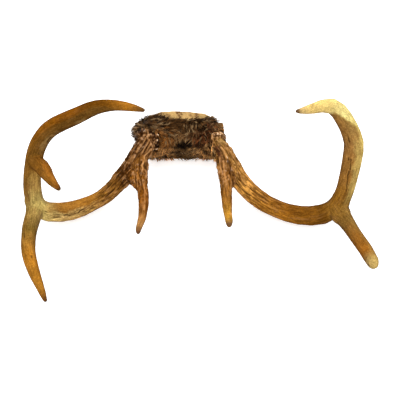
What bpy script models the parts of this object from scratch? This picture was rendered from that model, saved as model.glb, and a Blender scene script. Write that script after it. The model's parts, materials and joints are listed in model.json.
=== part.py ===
"""A deer's skull cap with its hide and both antlers, lying on its cut face and on the backs of its beams.

Metres, +Z up. The model is laid out from the skull's midline (x = 0), the line of the pedicles (y = 0)
and the surface that it lies on (z = 0). +Y points to the nose. At the end everything is moved sideways
so that the origin is the middle of the underside of the whole object's box.
"""

import math

import bmesh
import bpy
from mathutils import Vector

MM = 0.001
SEAT_GAP = 0.3 * MM  # left between touching pieces

# Skull cap: the arch of the forehead, sawn off below, behind and in front
CAP_HALF_WIDTH = 52 * MM
CAP_HALF_ARCH_LENGTH = 76 * MM
CAP_HEIGHT = 34 * MM
CAP_MIDDLE_Y = 5 * MM
CAP_FRONT_Y = 36 * MM
CAP_BACK_Y = -16 * MM
FRONT_CUT_LEAN = math.radians(8)  # the saw ran in under the brow
FRONT_CUT_TURN = math.radians(2)
ARCH_SQUARENESS = 2.5  # 2 gives a plain ellipse
BRAIN_HALF_WIDTH = 33 * MM
BRAIN_HALF_LENGTH = 16 * MM
BRAIN_HEIGHT = 22 * MM
BRAIN_MIDDLE_Y = 5 * MM

# Pedicles: the stumps of bone that carry the antlers
PEDICLE_RADIUS = 13.5 * MM
PEDICLE_ROOT_RADIUS = 16 * MM
PEDICLE_ROOT_X = 32 * MM  # out from the midline
PEDICLE_ROOT_Y = 8 * MM
PEDICLE_ROOT_Z = 12 * MM
PEDICLE_KNEE_DROP = 15 * MM  # the knee lies this far down the pedicle's axis

# Hide: skin and hair over the cap, trimmed short of the brow
HIDE_DEPTH = 11 * MM
HIDE_MIDDLE_X = -4 * MM  # it was left wider on one side
HIDE_FRONT_Y = 23 * MM
HIDE_FRONT_TURN = math.radians(4)
HIDE_BACK_OVERHANG = 6 * MM
HIDE_LIFT = 1.5 * MM  # above the surface that the cap lies on
CORNER_Y = 8 * MM  # where the trimmed back corners start
CORNER_ANGLE = math.radians(28)
COLLAR_DEPTH = 4.5 * MM  # fur round a pedicle
COLLAR_SETBACK = 1.5 * MM

# Antlers
BURR_RADIUS = 16.5 * MM
BURR_WIDTH = 9 * MM
BURR_KNOBS = 8
BURR_KNOB_DEPTH = 0.07
BURR_CLEARANCE = 1.0 * MM
BURR_ROOM_LENGTH = 46 * MM
FLUTE_DEPTH = 0.09  # share of the radius
BEAM_SIDES = 24
TINE_SIDES = 12
RING_STEP = 11 * MM
TIP_RINGS = 3

# Each antler's centre lines: x, y, z and radius in mm, from burr to tip
LEFT_BEAM = [
    (-42.5, -4.6, 40.0, 13.5),
    (-45.5, -18.5, 49.0, 13.4),
    (-54.5, -34.4, 50.0, 12.3),
    (-63.4, -48.8, 45.0, 12.2),
    (-74.8, -59.4, 38.0, 11.7),
    (-85.6, -69.9, 31.0, 10.9),
    (-100.9, -80.5, 22.0, 10.4),
    (-115.3, -86.3, 15.6, 10.4),
    (-129.3, -91.7, 12.2, 11.6),
    (-143.1, -96.2, 12.3, 12.3),
    (-157.7, -99.4, 15.0, 12.6),
    (-172.4, -100.8, 21.5, 12.6),
    (-184.9, -96.4, 33.0, 12.0),
    (-188.6, -82.6, 49.0, 11.6),
    (-187.3, -69.7, 66.0, 11.2),
    (-184.0, -57.2, 82.0, 10.9),
    (-179.2, -45.7, 97.0, 10.8),
    (-172.2, -36.3, 110.0, 10.6),
    (-161.3, -28.7, 124.0, 10.6),
    (-149.0, -25.4, 136.0, 10.6),
    (-122.6, -22.1, 156.0, 10.1),
    (-97.2, -18.2, 173.0, 8.6),
    (-72.4, -21.2, 186.0, 6.1),
    (-49.5, -28.2, 194.0, 3.7),
    (-39.5, -32.0, 196.5, 2.0),
]
LEFT_BROW_TINE = [
    (-49.8, -34.4, 50.0, 9.0),
    (-50.0, -49.7, 55.0, 9.0),
    (-49.3, -65.4, 62.0, 8.2),
    (-47.3, -81.6, 70.0, 7.1),
    (-45.0, -96.3, 78.0, 6.8),
    (-43.8, -109.4, 86.0, 6.2),
    (-44.5, -131.5, 99.0, 5.2),
    (-46.2, -140.8, 104.0, 4.5),
    (-48.2, -149.7, 109.0, 3.2),
    (-48.4, -154.2, 111.0, 2.4),
]
LEFT_SECOND_TINE = [
    (-185.6, -97.0, 33.0, 11.0),
    (-188.0, -112.1, 40.0, 10.7),
    (-189.0, -127.1, 50.0, 10.2),
    (-188.6, -143.5, 61.0, 9.4),
    (-184.6, -170.7, 78.0, 8.7),
    (-173.5, -199.7, 96.0, 7.2),
    (-161.0, -225.6, 110.0, 4.4),
    (-155.0, -238.8, 116.0, 2.0),
]
LEFT_THIRD_TINE = [
    (-184.5, -57.0, 81.0, 8.6),
    (-177.6, -59.4, 96.0, 9.6),
    (-169.3, -70.0, 107.0, 9.0),
    (-161.5, -81.9, 118.0, 7.8),
    (-148.2, -101.3, 135.0, 4.9),
    (-141.3, -109.6, 142.0, 2.3),
]
# The bone that fills the fork between a beam and its brow tine
LEFT_WEB = [
    (-60.5, -54.0, 50.5, 10.0),
    (-59.5, -62.5, 51.5, 9.6),
    (-55.0, -70.0, 56.0, 8.8),
    (-48.9, -83.5, 66.0, 6.6),
]
RIGHT_BEAM = [
    (44.0, -5.3, 40.0, 12.8),
    (49.4, -19.7, 48.5, 12.6),
    (58.4, -34.0, 50.0, 12.2),
    (66.9, -47.0, 46.0, 12.2),
    (75.6, -60.1, 39.0, 11.9),
    (85.0, -69.7, 31.0, 11.6),
    (98.3, -79.3, 22.5, 11.6),
    (112.9, -87.8, 16.0, 11.5),
    (127.4, -93.8, 12.4, 11.6),
    (141.7, -99.2, 11.7, 11.7),
    (156.6, -102.8, 13.2, 12.2),
    (171.2, -105.0, 17.2, 12.7),
    (186.2, -104.4, 23.0, 12.9),
    (200.8, -97.8, 33.0, 12.0),
    (209.8, -86.0, 47.0, 11.6),
    (213.3, -75.2, 59.0, 11.6),
    (215.4, -64.6, 71.0, 11.9),
    (216.9, -54.5, 84.0, 12.3),
    (217.8, -44.6, 97.0, 12.6),
    (216.8, -36.9, 108.0, 12.2),
    (208.2, -23.5, 126.0, 11.3),
    (194.1, -11.3, 146.0, 10.3),
    (184.6, -9.1, 156.0, 9.4),
    (171.7, -13.1, 165.0, 7.6),
    (159.8, -19.7, 173.0, 5.9),
    (143.1, -27.7, 184.0, 2.9),
    (139.5, -28.8, 186.2, 2.0),
]
RIGHT_BROW_TINE = [
    (54.6, -28.9, 50.0, 9.0),
    (56.3, -45.9, 56.0, 9.2),
    (57.9, -61.7, 63.0, 8.6),
    (58.9, -77.6, 70.0, 7.7),
    (59.2, -103.5, 84.0, 6.7),
    (60.1, -124.6, 95.5, 5.5),
    (61.4, -138.0, 102.6, 4.3),
    (61.4, -143.0, 105.0, 3.1),
]
RIGHT_WEB = [
    (64.5, -52.0, 51.5, 9.6),
    (65.5, -60.0, 52.5, 9.4),
    (66.0, -66.0, 55.5, 8.8),
    (60.6, -84.5, 69.0, 6.4),
]
RIGHT_SECOND_TINE = [
    (200.8, -97.8, 33.0, 12.0),
    (206.5, -111.0, 40.0, 12.4),
    (211.0, -117.6, 44.0, 10.7),
    (215.7, -130.3, 53.0, 9.4),
    (220.0, -144.0, 64.0, 8.8),
    (228.6, -169.6, 86.0, 8.7),
    (231.0, -180.6, 96.0, 8.3),
    (232.5, -187.6, 103.0, 7.6),
    (232.6, -192.0, 107.5, 6.4),
]


def new_object(name, mesh, collection):
    obj = bpy.data.objects.new(name, mesh)
    collection.objects.link(obj)
    return obj


def new_material(name, colour, roughness):
    material = bpy.data.materials.new(name)
    material.use_nodes = True
    shader = material.node_tree.nodes["Principled BSDF"]
    shader.inputs["Base Color"].default_value = (*colour, 1)
    shader.inputs["Roughness"].default_value = roughness
    shader.inputs["Metallic"].default_value = 0
    return material


# Centre lines


def stations(route):
    """The route's points and radii in metres."""
    return [Vector(row[:3]) * MM for row in route], [row[3] * MM for row in route]


def smooth_line(points, radii, step):
    """A curve through the points, as (point, radius) about a step apart."""
    distance = [0.0]
    for before, after in zip(points, points[1:]):
        distance.append(distance[-1] + (after - before).length)
    values = [Vector((*p, r)) for p, r in zip(points, radii)]
    last = len(values) - 1

    def slope(i):
        a, b = max(i - 1, 0), min(i + 1, last)
        return (values[b] - values[a]) / (distance[b] - distance[a])

    line = []
    for i in range(last):
        span = distance[i + 1] - distance[i]
        count = max(1, round(span / step))
        for k in range(count):
            t = k / count
            value = (
                values[i] * (2 * t**3 - 3 * t**2 + 1)
                + slope(i) * span * (t**3 - 2 * t**2 + t)
                + values[i + 1] * (3 * t**2 - 2 * t**3)
                + slope(i + 1) * span * (t**3 - t**2)
            )
            line.append((value.to_3d(), value[3]))
    line.append((points[-1], radii[-1]))
    return line


def start_direction(route):
    points, radii = stations(route)
    line = smooth_line(points, radii, RING_STEP)
    return (line[1][0] - line[0][0]).normalized()


def with_burr(line):
    """The line with closer rings at its start, which swell into the burr."""
    start, radius = line[0]
    axis = (line[1][0] - start).normalized()
    swell = BURR_RADIUS - radius
    rings = []
    for share in (0, 0.2, 0.5, 0.8, 1):
        rise = math.sin(math.pi * min(1, 0.18 + 0.82 * share)) ** 0.7
        rings.append((start + axis * BURR_WIDTH * share, radius + swell * rise))
    return rings + [row for row in line[1:] if (row[0] - start).length > BURR_WIDTH * 1.4]


def with_round_tip(line):
    """The line with a few rings that close its end in a half ball."""
    end, radius = line[-1]
    axis = (end - line[-2][0]).normalized()
    turns = [math.pi / 2 * k / TIP_RINGS for k in range(1, TIP_RINGS)]
    return line + [(end + axis * radius * math.sin(a), radius * math.cos(a)) for a in turns]


def fluted(share, angle):
    """Long ridges round a beam, deep at the burr and gone before the tip."""
    depth = FLUTE_DEPTH * (1 - share) ** 1.3
    ridges = 0.6 * math.cos(5 * angle + 4 * share) + 0.4 * math.cos(8 * angle - 5 * share)
    knobs = math.cos(BURR_KNOBS * angle) * max(0, 1 - share * 30)
    return 1 + depth * ridges + BURR_KNOB_DEPTH * knobs


def plain(share, angle):
    return 1


# Solids


def loft(name, line, sides, section, collection, flat_end=False):
    """A closed solid of rings along a line. Section gives a ring's radius as a share, by angle."""
    centres = [point for point, _ in line]
    last = len(line) - 1
    bm = bmesh.new()
    across = None
    rings = []
    for i, (centre, radius) in enumerate(line):
        ahead = (centres[min(i + 1, last)] - centres[max(i - 1, 0)]).normalized()
        if across is None:
            across = ahead.cross(Vector((0, 0, 1)))
        across = (across - ahead * across.dot(ahead)).normalized()
        beside = ahead.cross(across)
        ring = []
        for k in range(sides):
            angle = 2 * math.pi * k / sides
            way = across * math.cos(angle) + beside * math.sin(angle)
            ring.append(bm.verts.new(centre + way * radius * section(i / last, angle)))
        rings.append(ring)
    for ring, following in zip(rings, rings[1:]):
        for k in range(sides):
            after = (k + 1) % sides
            bm.faces.new((ring[k], ring[after], following[after], following[k]))
    bm.faces.new(reversed(rings[0]))
    if flat_end:
        bm.faces.new(rings[-1])
    else:
        end_way = (centres[-1] - centres[-2]).normalized()
        pole = bm.verts.new(centres[-1] + end_way * line[-1][1] * 0.25)
        for k in range(sides):
            bm.faces.new((rings[-1][k], rings[-1][(k + 1) % sides], pole))
    return finish(name, bm, collection)


def squared(share):
    """Moves a coordinate of the unit ball outward, towards a rounded box."""
    return math.copysign(abs(share) ** (2 / ARCH_SQUARENESS), share)


def arch(name, centre, half_sizes, segments, cuts, collection):
    """A rounded dome sawn off by planes. Each cut is a point and the direction that goes."""
    bm = bmesh.new()
    bmesh.ops.create_uvsphere(bm, u_segments=segments, v_segments=segments // 2, radius=1)
    for vert in bm.verts:
        share = Vector(squared(value) for value in vert.co)
        vert.co = centre + share * Vector(half_sizes)
    for point, away in cuts:
        everything = bm.verts[:] + bm.edges[:] + bm.faces[:]
        bmesh.ops.bisect_plane(
            bm, geom=everything, plane_co=point, plane_no=away, clear_outer=True
        )
        close_openings(bm)
    return finish(name, bm, collection)


def close_openings(bm):
    open_edges = [edge for edge in bm.edges if edge.is_boundary]
    if open_edges:
        bmesh.ops.contextual_create(bm, geom=open_edges)


def finish(name, bm, collection):
    bmesh.ops.recalc_face_normals(bm, faces=bm.faces)
    mesh = bpy.data.meshes.new(name)
    bm.to_mesh(mesh)
    bm.free()
    mesh.shade_smooth()
    mesh.set_sharp_from_angle(angle=math.radians(40))
    return new_object(name, mesh, collection)


def helper(obj):
    obj.hide_render = True
    obj.display_type = "WIRE"
    return obj


def combine(obj, other, operation):
    modifier = obj.modifiers.new(f"{operation.lower()} {other.name}", "BOOLEAN")
    modifier.operation = operation
    modifier.solver = "EXACT"
    modifier.object = other


def pedicle(name, beam, grow, end_grow, collection):
    """The stump of bone under one antler, ending flat where the burr sits, or a larger copy."""
    side = math.copysign(1, beam[0][0])
    axis = start_direction(beam)
    burr_seat = Vector(beam[0][:3]) * MM
    end = burr_seat + axis * (end_grow - SEAT_GAP)
    knee = burr_seat - axis * PEDICLE_KNEE_DROP
    root = Vector((side * PEDICLE_ROOT_X, PEDICLE_ROOT_Y, PEDICLE_ROOT_Z))
    points = [root, knee, end]
    radii = [PEDICLE_ROOT_RADIUS + grow, PEDICLE_RADIUS + grow, PEDICLE_RADIUS + grow]
    line = smooth_line(points, radii, RING_STEP)
    return helper(loft(name, line, BEAM_SIDES, plain, collection, flat_end=True))


def back_corner_cuts(inset):
    cuts = []
    for side in (-1, 1):
        away = Vector((side * math.cos(CORNER_ANGLE), -math.sin(CORNER_ANGLE), 0))
        corner = Vector((side * (CAP_HALF_WIDTH + HIDE_DEPTH), CORNER_Y, 0))
        cuts.append((corner - away * inset, away))
    return cuts


def front_cut(y, turn, lean, rise):
    away = Vector((math.sin(turn), math.cos(turn) * math.cos(lean), -math.sin(lean)))
    return Vector((0, y, rise)), away


def cap_form(name, grow, collection, helpers):
    """The outside of the bone, larger by grow all round."""
    edge, away = front_cut(CAP_FRONT_Y, FRONT_CUT_TURN, FRONT_CUT_LEAN, CAP_HEIGHT)
    cuts = [
        (Vector((0, 0, -grow)), Vector((0, 0, -1))),
        (Vector((0, CAP_BACK_Y - grow, 0)), Vector((0, -1, 0))),
        (edge + away * grow, away),
        *back_corner_cuts(HIDE_DEPTH - grow),
    ]
    half_sizes = [CAP_HALF_WIDTH + grow, CAP_HALF_ARCH_LENGTH + grow, CAP_HEIGHT + grow]
    cap = arch(name, Vector((0, CAP_MIDDLE_Y, 0)), half_sizes, 40, cuts, collection)
    for beam in (LEFT_BEAM, RIGHT_BEAM):
        combine(cap, pedicle(f"{name} pedicle", beam, grow, grow, helpers), "UNION")
    return cap


def make_skull_cap(parts, helpers):
    cap = cap_form("skull_cap", 0, parts, helpers)
    brain_sizes = [BRAIN_HALF_WIDTH, BRAIN_HALF_LENGTH, BRAIN_HEIGHT]
    brain = arch("brain case", Vector((0, BRAIN_MIDDLE_Y, 0)), brain_sizes, 24, [], helpers)
    combine(cap, helper(brain), "DIFFERENCE")
    return cap


def make_hide(parts, helpers):
    half_sizes = [
        CAP_HALF_WIDTH + HIDE_DEPTH,
        CAP_HALF_ARCH_LENGTH + HIDE_DEPTH,
        CAP_HEIGHT + HIDE_DEPTH,
    ]
    cuts = [
        (Vector((0, 0, HIDE_LIFT)), Vector((0, 0, -1))),
        (Vector((0, CAP_BACK_Y - HIDE_BACK_OVERHANG, 0)), Vector((0, -1, 0))),
        front_cut(HIDE_FRONT_Y, HIDE_FRONT_TURN, 0, 0),
        *back_corner_cuts(0),
    ]
    middle = Vector((HIDE_MIDDLE_X, CAP_MIDDLE_Y, 0))
    hide = arch("hide", middle, half_sizes, 40, cuts, parts)
    for beam in (LEFT_BEAM, RIGHT_BEAM):
        collar = pedicle("collar", beam, COLLAR_DEPTH, -COLLAR_SETBACK, helpers)
        combine(hide, collar, "UNION")
    combine(hide, helper(cap_form("bone clearance", SEAT_GAP, helpers, helpers)), "DIFFERENCE")
    for beam in (LEFT_BEAM, RIGHT_BEAM):
        combine(hide, burr_room(beam, helpers), "DIFFERENCE")
    return hide


def burr_room(beam, helpers):
    """The room that the hide leaves for an antler's burr and the start of its beam."""
    axis = start_direction(beam)
    radius = BURR_RADIUS * (1 + BURR_KNOB_DEPTH) + BURR_CLEARANCE
    start = Vector(beam[0][:3]) * MM - axis * BURR_CLEARANCE
    line = [(start, radius), (start + axis * BURR_ROOM_LENGTH, radius)]
    return helper(loft("burr room", line, BEAM_SIDES, plain, helpers, flat_end=True))


def make_antler(name, beam, branches, parts, helpers):
    line = with_round_tip(with_burr(smooth_line(*stations(beam), RING_STEP)))
    antler = loft(name, line, BEAM_SIDES, fluted, parts)
    for route in branches:
        branch_line = with_round_tip(smooth_line(*stations(route), RING_STEP))
        branch = helper(loft(f"{name} branch", branch_line, TINE_SIDES, plain, helpers))
        combine(antler, branch, "UNION")
    return antler


def move_origin_to_box(parts, helpers):
    """Moves everything sideways, so that the origin is under the middle of the object's box."""
    bpy.context.view_layer.update()
    graph = bpy.context.evaluated_depsgraph_get()
    corners = []
    for obj in parts.objects:
        corners += [Vector(corner) for corner in obj.evaluated_get(graph).bound_box]
    low_x, high_x = min(c.x for c in corners), max(c.x for c in corners)
    low_y, high_y = min(c.y for c in corners), max(c.y for c in corners)
    shift = Vector((-(low_x + high_x) / 2, -(low_y + high_y) / 2, 0))
    for obj in [*parts.objects, *helpers.objects]:
        obj.location += shift


def main():
    for obj in list(bpy.data.objects):
        bpy.data.objects.remove(obj)
    parts = bpy.data.collections.new("skull cap mount")
    helpers = bpy.data.collections.new("cutters")
    for collection in (parts, helpers):
        bpy.context.scene.collection.children.link(collection)

    cap = make_skull_cap(parts, helpers)
    cap.data.materials.append(new_material("bone", (0.66, 0.52, 0.30), 0.6))

    hide = make_hide(parts, helpers)
    hide.data.materials.append(new_material("fur", (0.09, 0.05, 0.025), 0.9))

    antler_bone = new_material("antler", (0.42, 0.25, 0.09), 0.45)
    left = make_antler(
        "left_antler",
        LEFT_BEAM,
        [LEFT_WEB, LEFT_BROW_TINE, LEFT_SECOND_TINE, LEFT_THIRD_TINE],
        parts,
        helpers,
    )
    right = make_antler(
        "right_antler",
        RIGHT_BEAM,
        [RIGHT_WEB, RIGHT_BROW_TINE, RIGHT_SECOND_TINE],
        parts,
        helpers,
    )
    for antler in (left, right):
        antler.data.materials.append(antler_bone)

    move_origin_to_box(parts, helpers)


main()
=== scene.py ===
import json
import math
from itertools import product

import bpy
import numpy as np
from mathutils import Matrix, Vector
from mathutils.bvhtree import BVHTree

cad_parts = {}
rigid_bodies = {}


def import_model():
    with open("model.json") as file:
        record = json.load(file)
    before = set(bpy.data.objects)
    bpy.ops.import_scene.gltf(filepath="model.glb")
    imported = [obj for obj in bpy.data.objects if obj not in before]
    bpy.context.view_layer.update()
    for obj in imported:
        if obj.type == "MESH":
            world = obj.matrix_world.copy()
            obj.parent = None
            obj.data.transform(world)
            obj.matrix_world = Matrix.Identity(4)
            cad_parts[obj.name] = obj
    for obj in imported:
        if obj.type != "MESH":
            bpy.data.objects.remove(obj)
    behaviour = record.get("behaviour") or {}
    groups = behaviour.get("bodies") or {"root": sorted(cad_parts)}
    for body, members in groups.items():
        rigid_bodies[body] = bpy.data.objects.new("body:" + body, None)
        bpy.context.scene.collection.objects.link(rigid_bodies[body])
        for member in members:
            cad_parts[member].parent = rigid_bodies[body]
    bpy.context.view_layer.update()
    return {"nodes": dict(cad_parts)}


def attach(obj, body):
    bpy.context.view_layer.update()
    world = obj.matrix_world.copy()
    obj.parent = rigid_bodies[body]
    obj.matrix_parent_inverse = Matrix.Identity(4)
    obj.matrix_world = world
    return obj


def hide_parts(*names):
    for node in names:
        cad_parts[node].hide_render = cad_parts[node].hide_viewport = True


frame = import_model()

# A deer skull cap mount: two antlers on their cut skull plate, with the hair left on the hide between them.
# It lies on the cut face, front towards -Y. Lengths in the tables are millimetres unless a note says otherwise.

mm = 0.001
print("frame loaded")


# Small helpers.

def deselectAll():
    for item in bpy.context.view_layer.objects:
        item.select_set(False)


def addObject(name, data):
    item = bpy.data.objects.new(name, data)
    bpy.context.scene.collection.objects.link(item)
    return item


def selectOnly(item):
    deselectAll()
    item.select_set(True)
    bpy.context.view_layer.objects.active = item


def evenCopy(nodeName, newName, size):
    # a copy of a node under an even skin of small quads, fine enough to carve in
    piece = addObject(newName, frame["nodes"][nodeName].data.copy())
    piece.data.materials.clear()
    selectOnly(piece)
    bpy.ops.object.mode_set(mode="EDIT")
    bpy.ops.mesh.select_all(action="SELECT")
    bpy.ops.mesh.remove_doubles(threshold=0.00002)
    bpy.ops.object.mode_set(mode="OBJECT")
    even = piece.modifiers.new("even skin", "REMESH")
    even.mode = "VOXEL"
    even.voxel_size = size * mm
    even.adaptivity = 0.0
    bpy.ops.object.modifier_apply(modifier=even.name)
    return piece, getPoints(piece), readAll(piece.data.edges, "vertices", 2, np.int32)


def readAll(items, field, width, kind=np.float32):
    flat = np.empty(len(items) * width, dtype=kind)
    items.foreach_get(field, flat)
    return flat.reshape(-1, width)


def getPoints(piece):
    return readAll(piece.data.vertices, "co", 3).astype(np.float64) / mm


def setPoints(piece, points):
    piece.data.vertices.foreach_set("co", (points * mm).astype(np.float32).ravel())
    piece.data.update()


def getNormals(piece):
    return readAll(piece.data.vertex_normals, "vector", 3).astype(np.float64)


def keep(piece, values, kind="FLOAT", field="value"):
    # stores named values on the points of a piece
    for name, value in values.items():
        layer = piece.data.attributes.new(name, kind, "POINT")
        layer.data.foreach_set(field, value.astype(np.float32).ravel())


def keepColour(piece, name, values):
    keep(piece, {name: np.column_stack([values, np.ones(len(values))])}, "FLOAT_COLOR", "color")


def smoothShade(piece):
    selectOnly(piece)
    bpy.ops.object.shade_smooth()


def relax(points, edges, passes, strength):
    # evens the mesh out; strength is one number or one for each point
    count = np.bincount(edges.ravel(), minlength=len(points)).clip(1)
    strength = np.broadcast_to(np.asarray(strength, dtype=float), (len(points),))[:, None]
    for _ in range(passes):
        total = np.empty_like(points)
        for axis in range(3):
            total[:, axis] = np.bincount(edges[:, 0], points[edges[:, 1], axis], minlength=len(points))
            total[:, axis] += np.bincount(edges[:, 1], points[edges[:, 0], axis], minlength=len(points))
        points = points + strength * (total / count[:, None] - points)
    return points


def spread(values, edges, passes):
    return relax(np.repeat(values[:, None], 3, axis=1), edges, passes, 0.5)[:, 0]


def unit(values, least=0.0):
    # each row made one long, unless it is shorter than least
    return values / np.linalg.norm(values, axis=1)[:, None].clip(least)


def layFlat(values, facing):
    # takes out of each row what points along facing
    return values - facing * (values * facing).sum(axis=1)[:, None]


def layOver(rows, share, top):
    return rows * (1.0 - share[:, None]) + np.array(top) * share[:, None]


def ramp(low, high, values):
    share = np.clip((values - low) / (high - low), 0.0, 1.0)
    return share * share * (3.0 - 2.0 * share)


def window(values, start, full, fade, end):
    # rises from start to full and falls from fade to end
    return ramp(start, full, values) * ramp(end, fade, values)


def cellRandom(cells, seed):
    # one even random number for each cell of a grid, always the same for the same cell
    cells = cells.astype(np.int64)
    mixed = cells[..., 0] * 73856093 ^ cells[..., 1] * 19349663 ^ cells[..., 2] * 83492791
    mixed = (mixed + seed * 2654435761) & 0xFFFFFFFF
    mixed = ((mixed >> 16) ^ mixed) * 0x45D9F3B & 0xFFFFFFFF
    mixed = ((mixed >> 16) ^ mixed) * 0x45D9F3B & 0xFFFFFFFF
    mixed = (mixed >> 16) ^ mixed
    return mixed / 4294967295.0


def softNoise(points, size, seed):
    # smooth noise from -1 to 1, with lumps about as wide as size
    place = points / size
    low = np.floor(place)
    part = place - low
    part = part * part * (3.0 - 2.0 * part)
    total = np.zeros(len(points))
    for corner in product((0, 1), repeat=3):
        total += np.prod(np.where(corner, part, 1.0 - part), axis=1) * cellRandom(low + corner, seed)
    return total * 2.0 - 1.0


def pebbles(points, size, seed):
    # distance to the nearest pebble's middle in shares of size, and that pebble's own random number
    place = points / size
    low = np.floor(place)
    best = np.full(len(points), 9.0)
    own = np.zeros(len(points))
    for offset in product((-1, 0, 1), repeat=3):
        cell = low + offset
        middle = cell + np.stack([cellRandom(cell, seed + k) for k in (1, 2, 3)], axis=-1)
        away = np.linalg.norm(place - middle, axis=1)
        nearer = away < best
        best = np.where(nearer, away, best)
        own = np.where(nearer, cellRandom(cell, seed + 4), own)
    return best, own


# Materials: node helpers and the two shared groups.

def feed(tree, socket, value):
    # sets a plain value on the socket and links anything else to it
    if isinstance(value, (int, float, tuple)):
        socket.default_value = value
    else:
        tree.links.new(value, socket)


def fill(tree, node, **values):
    # feeds a node's inputs by name, with _ for a space
    for name, value in values.items():
        feed(tree, node.inputs[name.replace("_", " ")], value)


def mathNode(tree, work, first, second, clamp=False):
    node = tree.nodes.new("ShaderNodeMath")
    node.operation = work
    node.use_clamp = clamp
    feed(tree, node.inputs[0], first)
    feed(tree, node.inputs[1], second)
    return node.outputs[0]


def mixNode(tree, share, first, second, blend="MIX"):
    node = tree.nodes.new("ShaderNodeMix")
    node.data_type = "RGBA"
    node.blend_type = blend
    for slot, value in ((0, share), (6, first), (7, second)):
        feed(tree, node.inputs[slot], value)
    return node.outputs[2]


def scaleNode(tree, colour, factor):
    node = tree.nodes.new("ShaderNodeVectorMath")
    node.operation = "SCALE"
    fill(tree, node, Vector=colour, Scale=factor)
    return node.outputs[0]


def noiseNode(tree, vector, scale, detail=3.0, rough=0.55):
    node = tree.nodes.new("ShaderNodeTexNoise")
    fill(tree, node, Vector=vector, Scale=scale, Detail=detail, Roughness=rough)
    return node.outputs["Fac"]


def stretchNode(tree, value, low, high, toLow=0.0, toHigh=1.0):
    node = tree.nodes.new("ShaderNodeMapRange")
    fill(tree, node, Value=value, From_Min=low, From_Max=high, To_Min=toLow, To_Max=toHigh)
    return node.outputs["Result"]


def newGroup(name, sockets):
    # a shader group with the given inputs (name, kind, value) and one colour as its output
    tree = bpy.data.node_groups.new(name, "ShaderNodeTree")
    for label, kind, value in sockets:
        socket = tree.interface.new_socket(name=label, in_out="INPUT", socket_type="NodeSocket" + kind)
        if value is not None:
            socket.default_value = value
    tree.interface.new_socket(name="Colour", in_out="OUTPUT", socket_type="NodeSocketColor")
    return tree, tree.nodes.new("NodeGroupInput").outputs, tree.nodes.new("NodeGroupOutput").inputs["Colour"]


def makePatchGroup():
    # cloudy light and dark patches over a colour, broad ones and fine ones
    tree, given, result = newGroup("cloudy patches", [
        ("Vector", "Vector", None), ("Colour", "Color", (0.5, 0.5, 0.5, 1.0)),
        ("Broad Amount", "Float", 0.3), ("Fine Amount", "Float", 0.3)])
    broad = stretchNode(tree, noiseNode(tree, given["Vector"], 55.0, 2.0), 0.3, 0.7, -1.0, 1.0)
    fine = stretchNode(tree, noiseNode(tree, given["Vector"], 560.0, 4.0, 0.7), 0.3, 0.7, -1.0, 1.0)
    sway = mathNode(tree, "ADD", mathNode(tree, "MULTIPLY", broad, given["Broad Amount"]),
                    mathNode(tree, "MULTIPLY", fine, given["Fine Amount"]))
    factor = mathNode(tree, "MAXIMUM", mathNode(tree, "ADD", sway, 1.0), 0.1)
    tree.links.new(scaleNode(tree, given["Colour"], factor), result)
    return tree


def makeDirtGroup():
    # darkens a colour towards a brown where its mask says: dirt in the hollows of a surface, and painted shade where
    # the mask carries shade
    tree, given, result = newGroup("dirt in hollows", [
        ("Colour", "Color", (0.5, 0.5, 0.5, 1.0)), ("Dirt", "Color", (0.05, 0.03, 0.015, 1.0)),
        ("Hollow", "Float", 0.0), ("Amount", "Float", 0.8)])
    share = mathNode(tree, "MULTIPLY", given["Hollow"], given["Amount"], clamp=True)
    tree.links.new(mixNode(tree, share, given["Colour"], given["Dirt"]), result)
    return tree


patchGroup = makePatchGroup()
dirtAndShadeGroup = makeDirtGroup()


def placeGroup(tree, group, **values):
    node = tree.nodes.new("ShaderNodeGroup")
    node.node_tree = group
    fill(tree, node, **values)
    return node.outputs["Colour"]


def attributeNode(tree, name, output="Fac"):
    node = tree.nodes.new("ShaderNodeAttribute")
    node.attribute_type = "GEOMETRY"
    node.attribute_name = name
    return node.outputs[output]


def newMaterial(name, roughness, specular):
    material = bpy.data.materials.new(name)
    material.use_nodes = True
    tree = material.node_tree
    shader = tree.nodes["Principled BSDF"]
    fill(tree, shader, Roughness=roughness, Specular_IOR_Level=specular)
    return material, tree, shader


def ownPlace(tree):
    return tree.nodes.new("ShaderNodeTexCoord").outputs["Object"]


def bumpNode(tree, shader, height, strength, distance):
    node = tree.nodes.new("ShaderNodeBump")
    fill(tree, node, Height=height, Strength=strength, Distance=distance * mm)
    fill(tree, shader, Normal=node.outputs["Normal"])


# What the hide and its hair look like.

hideLook = {
    "skin": 1.3,
    "sink": 5.0,             # how far the skin lies under the top of the hair
    "reach": (4.6, 4.0),     # how far the front edge is drawn out over the bone, left and right
    "colour": (0.05, 0.024, 0.01, 1.0),
    "patches": (0.3, 0.4),
}
hairLook = {
    "pieces": 3,
    "perPiece": 12000,
    "perLock": 5,            # hairs that lie side by side
    "lockWidth": 0.36,
    "burrRoom": 17.5,        # radius round an antler's foot that is kept free
    "length": (10.0, 16.0),
    "root": 0.27,            # radius at the skin
    "rise": 0.22,            # how steeply hairs leave the skin
    "clump": 4.5,            # width of a tuft
    "gather": 0.25,          # how much the tips of a tuft come together
    # where the hide is cut straight: the way out, and the limit along it
    "trims": (((1.0, 0.0, 0.0), 36.5), ((-0.79, -0.61, 0.0), -1.5)),
    "rings": ((0.0, 1.0), (0.36, 0.9), (0.70, 0.62)),     # where along a hair, and how thick
    "ringAngles": (0.0, 2.0944, 4.1888),
    "colour": (0.196, 0.099, 0.035),
    "orange": (0.24, 0.090, 0.018),
    "rust": (0.099, 0.028, 0.008),
    "black": (0.010, 0.005, 0.002),
    "brown": (0.058, 0.024, 0.006),
    "tan": (0.36, 0.185, 0.062),
    "pale": (0.50, 0.31, 0.14),
    "paleShare": 0.08,
    "paleRaise": 1.3,        # pale guard hairs lie on top of the coat
}


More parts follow.
